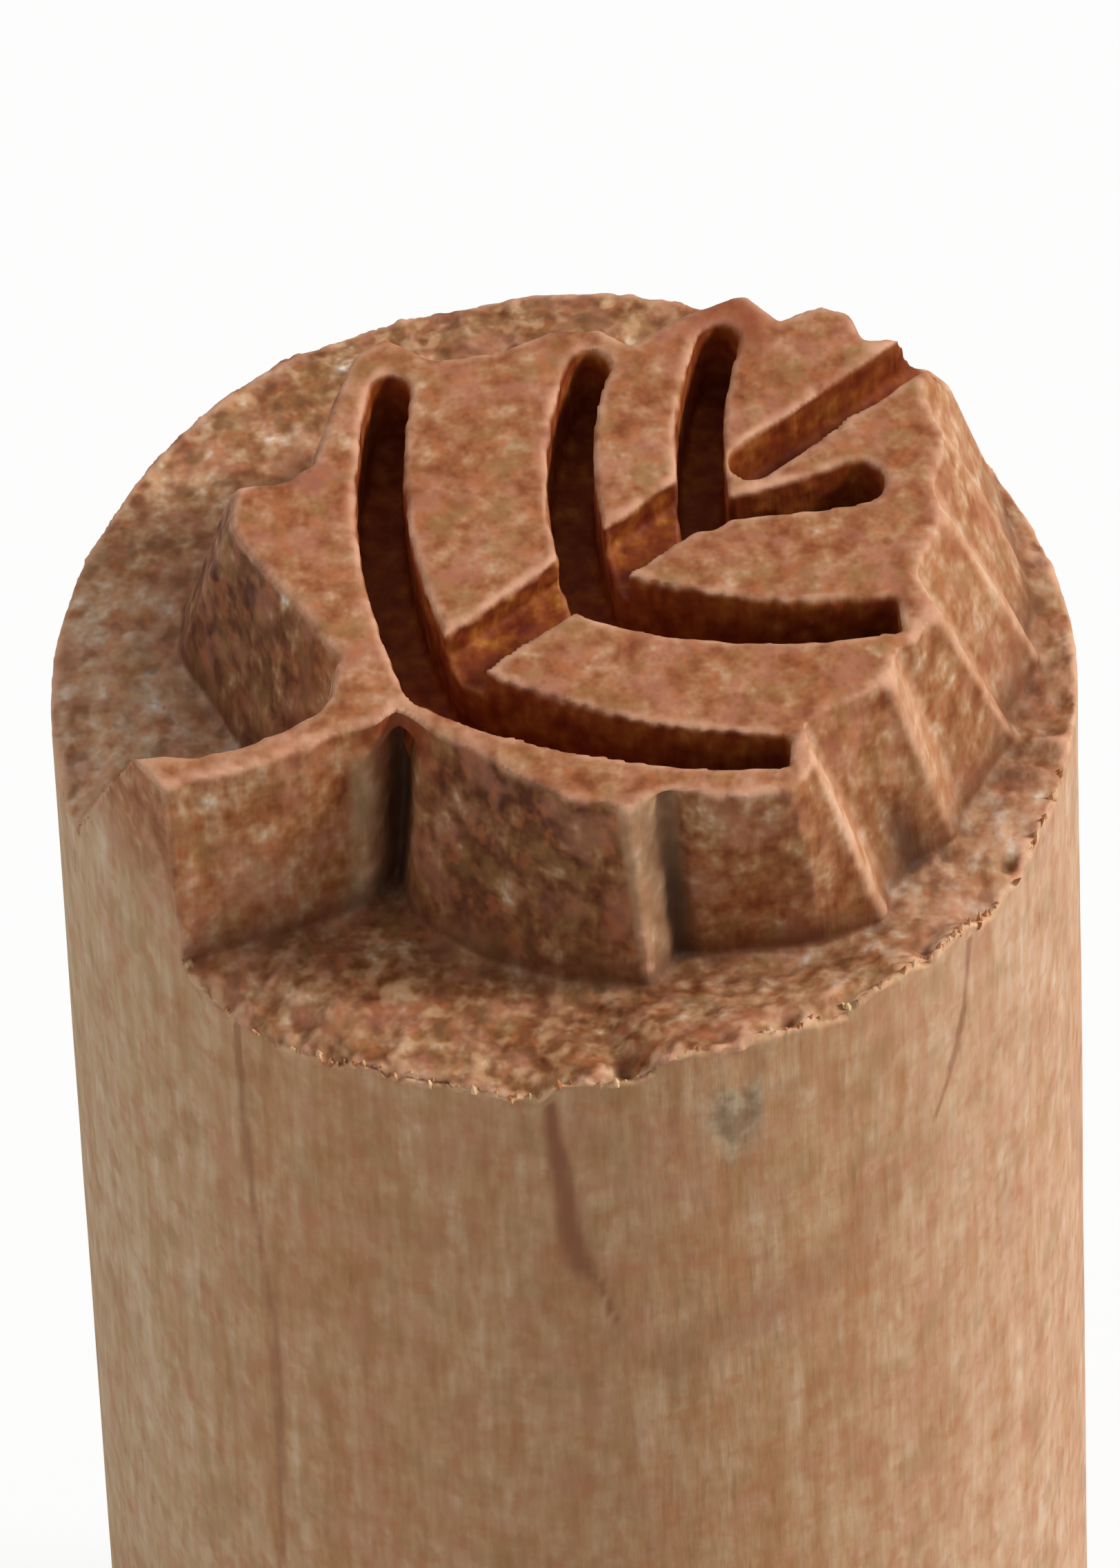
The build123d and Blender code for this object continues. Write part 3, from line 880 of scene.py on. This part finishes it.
rings = handle_profile()
turns = np.arange(TURNS) * 2 * math.pi / TURNS
turning = np.stack([np.cos(turns), np.sin(turns)], axis=1)
shell = np.empty((len(rings), TURNS, 3))
shell[:, :, :2] = rings[:, None, :1] * turning
shell[:, :, 2] = rings[:, None, 1]
shell = shell.reshape(-1, 3)
round_share = np.repeat(rings[:, 0] >= RADIUS - 0.35, TURNS)
moved = shell.copy()
moved[:, :2] += (round_share * side_relief(shell))[:, None] * np.tile(turning, (len(rings), 1))
saw = np.repeat((rings[:, 1] == 0) & (rings[:, 0] < RADIUS - 1), TURNS)
moved[:, 2] += saw * SAW_DEPTH * (1 + noise(shell, SAW_MARK, 61)) * 0.5
quads = [(i * TURNS + j, i * TURNS + (j + 1) % TURNS, (i + 1) * TURNS + (j + 1) % TURNS, (i + 1) * TURNS + j)
         for i in range(len(rings) - 1) for j in range(TURNS)]
last = len(shell)
top = (len(rings) - 1) * TURNS
quads += [(last, (j + 1) % TURNS, j) for j in range(TURNS)]
quads += [(last + 1, top + j, top + (j + 1) % TURNS) for j in range(TURNS)]
handle = bpy.data.meshes.new("handle_shank_wood")
all_places = np.vstack([moved, [[0, 0, SAW_DEPTH / 2], [0, 0, SHANK_HEIGHT]]])
handle.from_pydata((all_places * MM).tolist(), [], quads)
handle.polygons.foreach_set("use_smooth", np.ones(len(handle.polygons), bool))
plain_shell = np.vstack([shell, [[0, 0, 0], [0, 0, SHANK_HEIGHT]]])
handle_side = np.append(np.clip((plain_shell[:-2, 2]) / 0.3, 0, 1), [0, 1])
shade_marks(handle, side=handle_side, stain=side_stains(plain_shell), knot=knot_stain(plain_shell))
sharp = handle.attributes.new("sharp_edge", "BOOLEAN", "EDGE")
ends = np.empty(len(handle.edges) * 2, np.int32)
handle.edges.foreach_get("vertices", ends)
in_top = (ends.reshape(-1, 2) >= top) & (ends.reshape(-1, 2) < last)
sharp.data.foreach_set("value", in_top.all(axis=1))
wood_meshes["handle_shank"] = handle
print("handle:", len(rings), "rings,", len(quads), "faces")

# %% [markdown]
# ## Wood
# The wood is a close-grained hardwood with no varnish. Its fibres run up the dowel, so on the side they show
# as faint streaks a third of a millimetre wide and some millimetres long. Cut across, the same wood is mottled
# in half-millimetre blotches, pink, orange and olive. Noises stretched along Z give both, as the real thing
# does. The end and the carving are warmer and redder than the side, because a cut across the grain swallows
# more light, and the veins are darkest.

# %% Wood material
PORE_CELL = (0.36, 0.36, 2.6)
FIBRE_RELIEF = 0.06


def mix(tree, share, first, second):
    """Blend two colours by a share."""
    node = add(tree, "ShaderNodeMix", {0: share, 6: first, 7: second}, data_type="RGBA", clamp_factor=True)
    return node.outputs[2]


def ramp(tree, value, *stops):
    """Colours at places from 0 to 1 along a value."""
    node = add(tree, "ShaderNodeValToRGB", {0: value})
    points = node.color_ramp.elements
    while len(points) < len(stops):
        points.new(0.5)
    for point, (place, colour) in zip(points, stops):
        point.position, point.color = place, linear(colour)
    return node.outputs[0]


def scaled_noise(tree, place, cell, detail, seed):
    """Noise with cells of that size in mm on the object's own coordinates."""
    mapping = add(tree, "ShaderNodeMapping", {"Vector": place, "Location": (seed, seed * 0.7, seed * 0.3),
                                              "Scale": [1 / (MM * c) for c in cell]}, vector_type="POINT")
    return add(tree, "ShaderNodeTexNoise", {"Vector": mapping.outputs[0], "Scale": 1.0, "Detail": detail,
                                            "Roughness": 0.6})


def wood_material(name):
    """The stamp's wood, which reads the marks on the mesh."""
    material, tree, output = new_material(name)
    place = add(tree, "ShaderNodeTexCoord").outputs["Object"]
    marks = {key: add(tree, "ShaderNodeAttribute", attribute_name=key).outputs["Fac"]
             for key in ("wall", "ground", "side", "vein", "midrib", "crest", "hollow", "depth", "foot", "facet",
                         "grey", "dark", "nick", "rim", "wall_tone", "floor_tone", "stain", "knot")}
    fibre = scaled_noise(tree, place, (0.30, 0.30, 2.4), 3, 3.1).outputs[0]
    streak = scaled_noise(tree, place, (0.85, 0.85, 8.0), 2, 7.7).outputs[0]
    mottle = scaled_noise(tree, place, (0.54, 0.54, 0.75), 2, 12.3)
    blotch = scaled_noise(tree, place, (1.15, 1.15, 1.7), 2, 21.9)
    speck = scaled_noise(tree, place, (0.58, 0.58, 0.7), 1, 51.3).outputs[0]
    pore_cells = add(tree, "ShaderNodeMapping", {"Vector": place, "Scale": [1 / (c * MM) for c in PORE_CELL]})
    pores = add(tree, "ShaderNodeTexVoronoi", {"Scale": 1.0, "Vector": pore_cells.outputs[0]})
    pore = map_range(tree, pores.outputs["Distance"], (0.10, 0.28), (1.0, 0.0))
    across_x = add(tree, "ShaderNodeSeparateXYZ", {0: place}).outputs["X"]
    # Painted light on the dowel's side: paler towards its right, which the lamp lights, and paler and greyer at
    # its far left
    painted_right_light = map_range(tree, across_x, (5 * MM, 12 * MM), interpolation_type="SMOOTHSTEP")
    painted_left_light = map_range(tree, across_x, (-6.5 * MM, -12.5 * MM), interpolation_type="SMOOTHSTEP")

    def blend_of(*parts):
        """Several noises added by their shares."""
        total = None
        for value, share in parts:
            part = math_node(tree, "MULTIPLY", value, share)
            total = part if total is None else math_node(tree, "ADD", total, part)
        return total

    def spots(value, start, full, most):
        """A share that rises from 0 to most while a noise goes from start to full."""
        return map_range(tree, value, (start, full), (0.0, most), interpolation_type="SMOOTHSTEP")

    def share_of(name, most):
        """A mark's share, brought down to at most that much."""
        return math_node(tree, "MULTIPLY", marks[name], most)

    def uneven(wood, tone, strength):
        """Darker and redder where the tone is low, paler and greyer where it is high."""
        power = map_range(tree, tone, (0.36, 0.64), (1 + strength, 1 - strength), clamp=False)
        return add(tree, "ShaderNodeGamma", {"Color": wood, "Gamma": power}).outputs[0]

    def tinted(wood, share):
        """Pink, orange and olive blotches, each where one channel of the noise is high."""
        tint = add(tree, "ShaderNodeSeparateColor", {0: blotch.outputs["Color"]})
        fine = add(tree, "ShaderNodeSeparateColor", {0: mottle.outputs["Color"]})
        wood = mix(tree, spots(tint.outputs[1], 0.48, 0.66, share), wood, linear("#BB7C62"))
        wood = mix(tree, spots(tint.outputs[2], 0.50, 0.68, share), wood, linear("#96713F"))
        return mix(tree, spots(fine.outputs[1], 0.52, 0.68, share), wood, linear("#B4683C"))

    side_tone = blend_of((fibre, 0.34), (streak, 0.30), (mottle.outputs[0], 0.20), (blotch.outputs[0], 0.16))
    side_wood = mix(tree, painted_left_light, linear("#BF9168"), linear("#C9A983"))
    side_wood = mix(tree, math_node(tree, "MULTIPLY", painted_right_light, 0.7), side_wood, linear("#D6AA88"))
    side_wood = tinted(uneven(side_wood, side_tone, 0.34), 0.30)
    side_wood = mix(tree, math_node(tree, "MULTIPLY", pore, 0.14), side_wood, linear("#8A5E3E"))

    cut_tone = blend_of((fibre, 0.16), (mottle.outputs[0], 0.48), (speck, 0.16), (blotch.outputs[0], 0.20))
    end_wood = tinted(uneven(linear("#A0653E"), cut_tone, 0.48), 0.50)
    end_wood = mix(tree, math_node(tree, "MULTIPLY", pore, 0.22), end_wood, linear("#6E3A20"))

    # Partly the wood's own tone and partly painted shade and light, by place on the walls
    wall_wood = ramp(tree, marks["wall_tone"], (0.0, "#673919"), (0.25, "#9C6237"), (0.55, "#B47F56"),
                     (1.0, "#CC976C"))
    wall_wood = tinted(uneven(wall_wood, cut_tone, 0.62), 0.42)
    # Painted shade: the walls are coloured darker towards the floor
    low = map_range(tree, marks["depth"], (0.35, 1.0), (0.0, 0.30))
    wall_wood = mix(tree, low, wall_wood, linear("#6E3E22"))

    # Partly the floor's own tone and partly painted light: paler on the left, where the leaf's shadow falls
    floor_wood = ramp(tree, marks["floor_tone"], (0.2, "#8D5C36"), (0.55, "#B5835B"), (0.95, "#CBA07D"))
    floor_wood = tinted(uneven(floor_wood, cut_tone, 0.70), 0.45)
    floor_wood = mix(tree, spots(speck, 0.46, 0.30, 0.5), floor_wood, linear("#6A4226"))
    floor_wood = mix(tree, spots(speck, 0.54, 0.70, 0.5), floor_wood, linear("#D4A579"))

    vein_wood = uneven(linear("#883C0B"), cut_tone, 0.35)
    rib_wood = uneven(linear("#833B06"), cut_tone, 0.45)

    # Painted highlight on the narrow facets that face the lamp
    lit_facet_wood = uneven(linear("#CE9A73"), cut_tone, 0.45)
    # Partly wear and partly a painted highlight on the crests
    arris_wear_and_highlight = share_of("crest", spots(blotch.outputs[0], 0.30, 0.60, 0.85))
    rim_fleck = share_of("rim", spots(mottle.outputs[0], 0.44, 0.55, 0.85))
    smudge = ramp(tree, mottle.outputs[0], (0.40, "#6F6853"), (0.52, "#94866C"), (0.62, "#B3A588"))

    # Each layer covers the ones before it, from the plain cut wood to the stains. The foot, hollow and dark layers
    # are painted shade, the facet and grey layers are painted highlight, the pale arris is partly wear and partly
    # painted highlight, and the wall and floor colours hold painted light and shade by place
    colour = end_wood
    for share, layer in (
            (marks["wall"], wall_wood), (marks["facet"], lit_facet_wood), (share_of("grey", 0.6), linear("#A8926E")),
            (marks["ground"], floor_wood), (share_of("foot", 0.6), linear("#4E2812")),
            (share_of("hollow", 0.55), linear("#54290F")), (marks["side"], side_wood),
            (arris_wear_and_highlight, linear("#DBA585")), (marks["midrib"], rib_wood), (marks["vein"], vein_wood),
            (share_of("dark", 0.85), linear("#3E2413")), (share_of("nick", 0.8), linear("#8A3A1C")),
            (rim_fleck, linear("#E3BC8E")), (marks["stain"], linear("#8A5234")), (share_of("knot", 0.6), smudge)):
        colour = mix(tree, share, colour, layer)

    height = math_node(tree, "SUBTRACT", blend_of((fibre, 1.0), (mottle.outputs[0], 0.5)),
                       math_node(tree, "MULTIPLY", pore, 0.3))
    bump = add(tree, "ShaderNodeBump", {"Height": height, "Strength": 0.45, "Distance": FIBRE_RELIEF * MM})
    shine = map_range(tree, fibre, (0.3, 0.7), (0.62, 0.8))
    surface = add(tree, "ShaderNodeBsdfPrincipled", {
        "Base Color": colour, "Roughness": shine, "Normal": bump.outputs[0], "IOR": 1.45,
        "Specular IOR Level": 0.35})
    tree.links.new(surface.outputs["BSDF"], output.inputs["Surface"])
    return material


# Cut across the grain: the pores are open and swallow light, so the eye gets a warm, dark, mottled surface
carved_wood = wood_material("close-grained hardwood, knife-cut end grain")
# Sanded along the grain: closed and even, so the eye gets a paler surface with soft upright streaks
turned_wood = wood_material("close-grained hardwood, sanded side grain")
print("wood materials:", [(m.name, len(m.node_tree.nodes)) for m in (carved_wood, turned_wood)])

# %% [markdown]
# ## Torn fibres on the rim
# Where the chisel ran out over the front of the rim, it tore the upright fibres, and short pale splinters
# stand on the edge. Each could be modelled by hand, but they all have one shape, so Geometry Nodes puts a
# thin five-sided cone on each of some ninety places along the rim. The places are picked from the head's own
# points with a fixed seed. Each splinter starts a little inside the wood, against the surface's own normal, and
# leans outwards along it, so that none floats and none is lost inside.

# %% Splinters
SPLINTER_COUNT, SPLINTER_SEED = 90, 12
SPLINTER_WIDTH, SPLINTER_LENGTH = 0.11, 0.42
SPLINTER_ROOT = 0.09
LEAN_OUT, STAND_UP, SPREAD = 0.35, 0.9, 0.2
ARC_START, ARC_END = math.radians(-136), math.radians(-15)


def splinter_places():
    """A mesh of single points on the rim, in metres, each with the way its splinter lies."""
    choice = np.random.default_rng(SPLINTER_SEED)
    in_arc = (turned > ARC_START) & (turned < ARC_END)
    on_rim = np.flatnonzero((rim_edge > 0.45) & in_arc & (np.abs(plain[:, 2] - FLOOR_HEIGHT) < 1.2))
    picked = choice.choice(on_rim, SPLINTER_COUNT, replace=False)
    wood_places, wood_normals, _ = arrays(head)
    upwards = np.array([0, 0, STAND_UP])
    lies = LEAN_OUT * wood_normals[picked] + upwards + choice.uniform(-SPREAD, SPREAD, (SPLINTER_COUNT, 3))
    points = wood_places[picked] - SPLINTER_ROOT * wood_normals[picked]
    mesh = bpy.data.meshes.new("splinter_places")
    mesh.from_pydata((points * MM).tolist(), [], [])
    mesh.attributes.new("lie", "FLOAT_VECTOR", "POINT").data.foreach_set("vector", lies.astype(np.float32).ravel())
    return mesh


def splinter_tree():
    """Geometry Nodes that stand a cone on each point, in the direction stored there."""
    tree = bpy.data.node_groups.new("splinters on points", "GeometryNodeTree")
    inputs = {}
    for name, kind in (("Points", "Geometry"), ("Width", "Float"), ("Length", "Float"), ("Seed", "Int"),
                       ("Wood", "Material")):
        socket = tree.interface.new_socket(name=name, in_out="INPUT", socket_type="NodeSocket" + kind)
        inputs[name] = socket.identifier
    tree.interface.new_socket(name="Splinters", in_out="OUTPUT", socket_type="NodeSocketGeometry")
    given = add(tree, "NodeGroupInput").outputs
    cone = add(tree, "GeometryNodeMeshCone", {"Vertices": 5, "Radius Top": 0.0, "Radius Bottom": given["Width"],
                                              "Depth": given["Length"]})
    lie = add(tree, "GeometryNodeInputNamedAttribute", {"Name": "lie"}, data_type="FLOAT_VECTOR")
    turn = add(tree, "FunctionNodeAlignRotationToVector", {"Vector": lie.outputs["Attribute"]}, axis="Z")
    size = add(tree, "FunctionNodeRandomValue", {0: (0.6, 0.6, 0.35), 1: (1.3, 1.3, 1.0), "Seed": given["Seed"]},
               data_type="FLOAT_VECTOR")
    stand = add(tree, "GeometryNodeInstanceOnPoints", {
        "Points": given["Points"], "Instance": cone.outputs["Mesh"], "Rotation": turn.outputs[0],
        "Scale": size.outputs[0]})
    real = add(tree, "GeometryNodeRealizeInstances", {"Geometry": stand.outputs[0]})
    wooden = add(tree, "GeometryNodeSetMaterial", {"Geometry": real.outputs[0], "Material": given["Wood"]})
    add(tree, "NodeGroupOutput", {"Splinters": wooden.outputs[0]})
    return tree, inputs


# Torn dry fibres scatter light in every direction, so the eye gets paler and more matt tips than cut wood has
torn_wood, tree, output = new_material("torn hardwood fibres, pale and dry")
place = add(tree, "ShaderNodeTexCoord").outputs["Object"]
shade = scaled_noise(tree, place, (0.5, 0.5, 0.5), 2, 71.0).outputs[0]
dry = add(tree, "ShaderNodeBsdfPrincipled", {
    "Base Color": ramp(tree, shade, (0.38, "#B06C3E"), (0.50, "#CF9A6E"), (0.60, "#E6C398")),
    "Roughness": map_range(tree, shade, (0.3, 0.7), (0.7, 0.85)), "IOR": 1.45, "Specular IOR Level": 0.3})
tree.links.new(dry.outputs["BSDF"], output.inputs["Surface"])

tree, inputs = splinter_tree()
helper = put_in_scene("splinter_places", splinter_places())
modifier = helper.modifiers.new("splinters", "NODES")
modifier.node_group = tree
for name, value in (("Width", SPLINTER_WIDTH * MM), ("Length", SPLINTER_LENGTH * MM), ("Seed", SPLINTER_SEED),
                    ("Wood", torn_wood)):
    modifier[inputs[name]] = value
splinters = bpy.data.meshes.new_from_object(helper.evaluated_get(bpy.context.evaluated_depsgraph_get()))
helper.modifiers.remove(modifier)
bpy.data.objects.remove(helper)
# The cones bring an empty material slot of their own, so the one real finish is set again
splinters.materials.clear()
splinters.materials.append(torn_wood)
splinters.polygons.foreach_set("material_index", np.zeros(len(splinters.polygons), np.int32))
print("splinters:", len(splinters.polygons), "faces, materials", [m.name for m in splinters.materials])

# %% [markdown]
# ## Putting the pieces in the frame
# Each piece stands for the CAD node of the same name, rides on the one body, and takes the finish that the table
# gives it.

# %% Pieces
PIECES = {"handle_shank": turned_wood, "carved_ground": carved_wood, "leaf_stalk": carved_wood,
          "leaf_blade": carved_wood}
for node, material in PIECES.items():
    mesh = wood_meshes[node]
    mesh.materials.append(material)
    piece = put_in_scene(node + "_wood", mesh)
    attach(piece, "root")
    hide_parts(node)
    mesh.calc_loop_triangles()
    print(node, "triangles:", len(mesh.loop_triangles))

splinter_piece = put_in_scene("rim_splinters", splinters)
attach(splinter_piece, "root")
